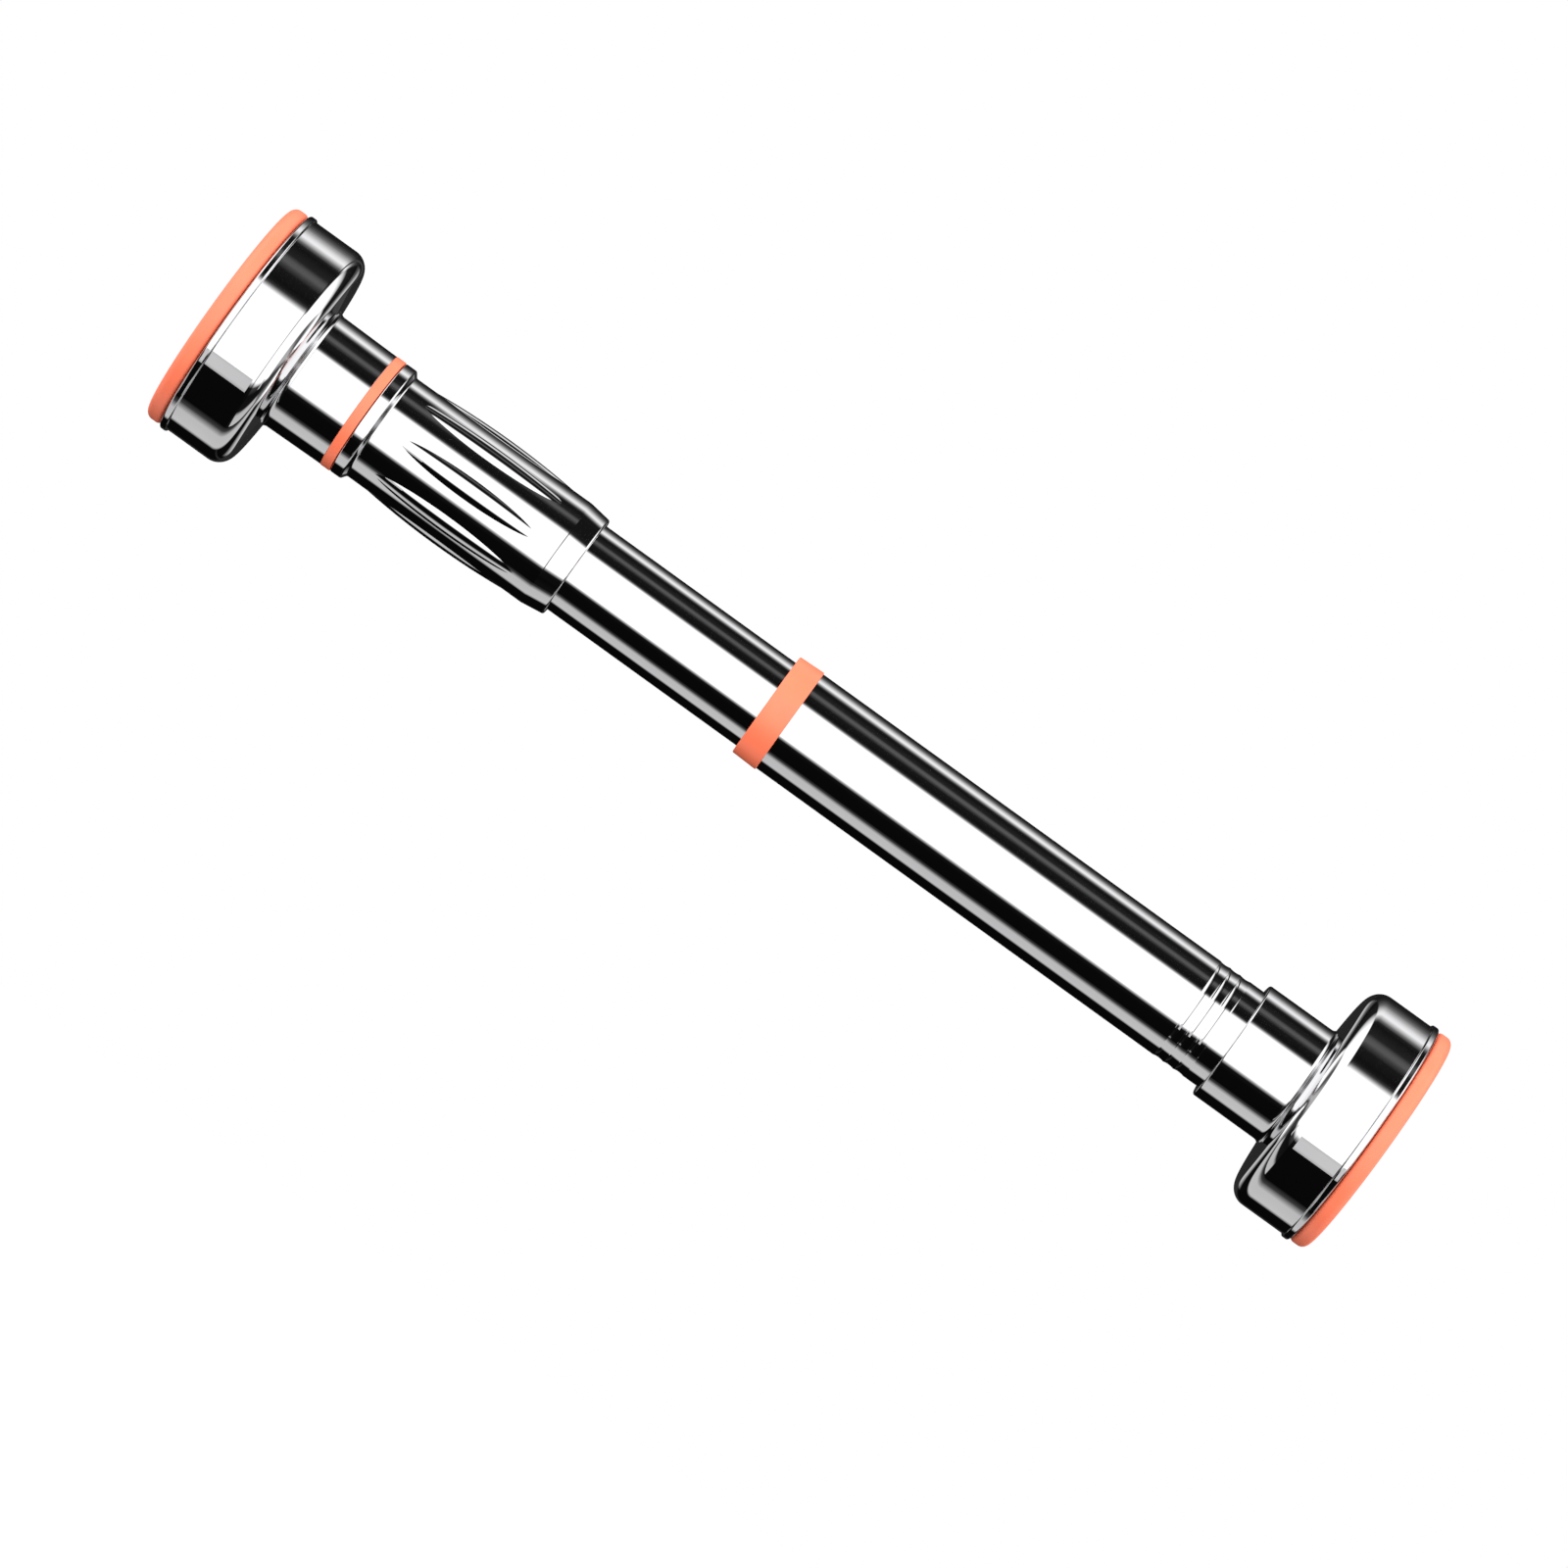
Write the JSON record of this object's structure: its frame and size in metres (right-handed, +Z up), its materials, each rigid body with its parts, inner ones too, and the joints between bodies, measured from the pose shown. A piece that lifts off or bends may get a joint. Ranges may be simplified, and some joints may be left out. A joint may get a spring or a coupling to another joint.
{
  "type": "doorway pull up bar",
  "caption": "Telescopic doorway pull up bar: two chromed tubes, a fluted twist sleeve that screws one foot out, and cup feet with rubber pads.",
  "frame": {"origin": "on the bar's axis, at the middle of its overall length with the sleeve screwed right in and the tubes as shown", "axes": "+X along the bar from the left foot, beside the fluted sleeve, to the right foot on the larger tube; +Z up; -Y towards the viewer"},
  "size_m": [0.532, 0.0968, 0.0968],
  "materials": {
    "chromed_tube": "mirror chrome plate on drawn steel tube",
    "chromed_pressing": "mirror chrome plate on turned and pressed steel",
    "orange_rubber": "matt moulded rubber",
    "orange_plastic": "satin moulded nylon",
    "black_nylon": "moulded glass-filled nylon",
    "white_acetal": "turned acetal",
    "bright_steel": "turned bright steel",
    "zinc_steel": "bright zinc plate",
    "spring_steel": "oiled black spring steel",
    "bronze": "turned bronze",
    "aluminium": "turned aluminium"
  },
  "bodies": {
    "outer": {"outer_tube": "chromed_tube", "mouth_ring": "orange_plastic", "guide_bush": "white_acetal", "outer_end_plug": "bright_steel", "end_plug_pin": "spring_steel", "right_cup": "chromed_pressing", "right_cup_core": "black_nylon", "right_pad_plate": "chromed_pressing", "right_pad": "orange_rubber", "right_foot_bolt": "zinc_steel", "right_foot_washer": "zinc_steel", "right_plate_screws": "zinc_steel"},
    "lock_ring": {"lock_collar": "white_acetal"},
    "lock_cone": {"lock_wedge": "aluminium"},
    "inner": {"inner_tube": "chromed_tube", "inner_end_plug": "bright_steel", "plug_pins": "spring_steel", "screw_key": "bright_steel", "lock_plug": "aluminium", "lock_pin": "spring_steel", "lock_stud": "zinc_steel", "lock_stop_nut": "zinc_steel"},
    "sleeve": {"twist_sleeve": "chromed_pressing", "drive_nut": "bronze", "nut_keys": "bright_steel", "nut_circlip": "spring_steel", "front_thrust_washer": "bright_steel", "back_thrust_washer": "white_acetal"},
    "left_foot": {"jack_screw": "bright_steel", "left_cup": "chromed_pressing", "left_cup_core": "black_nylon", "left_trim_ring": "orange_plastic", "left_pad_plate": "chromed_pressing", "left_pad": "orange_rubber", "left_foot_bolt": "zinc_steel", "left_foot_washer": "zinc_steel", "left_plate_screws": "zinc_steel"}
  },
  "joints": [
    {"name": "telescope", "type": "slide", "parent": "outer", "child": "lock_ring", "axis": [-1, 0, 0], "range_m": [-0.082, 0.06]},
    {"name": "lock_twist", "type": "hinge", "parent": "lock_ring", "child": "inner", "pos_m": [0.08, 0, 0], "axis": [1, 0, 0], "range_deg": [0, 540]},
    {"name": "wedge_pull", "type": "slide", "parent": "lock_ring", "child": "lock_cone", "axis": [-1, 0, 0], "range_m": [0, 0.00187]},
    {"name": "sleeve_turn", "type": "hinge", "parent": "inner", "child": "sleeve", "pos_m": [-0.15, 0, 0], "axis": [1, 0, 0], "range_deg": [0, 2160]},
    {"name": "screw_extend", "type": "slide", "parent": "inner", "child": "left_foot", "axis": [-1, 0, 0], "range_m": [0, 0.024]}
  ],
  "couplings": [
    {"joint": "wedge_pull", "follows": "lock_twist", "m_per_rad": 0.00019894},
    {"joint": "screw_extend", "follows": "sleeve_turn", "m_per_rad": 0.00063662}
  ]
}
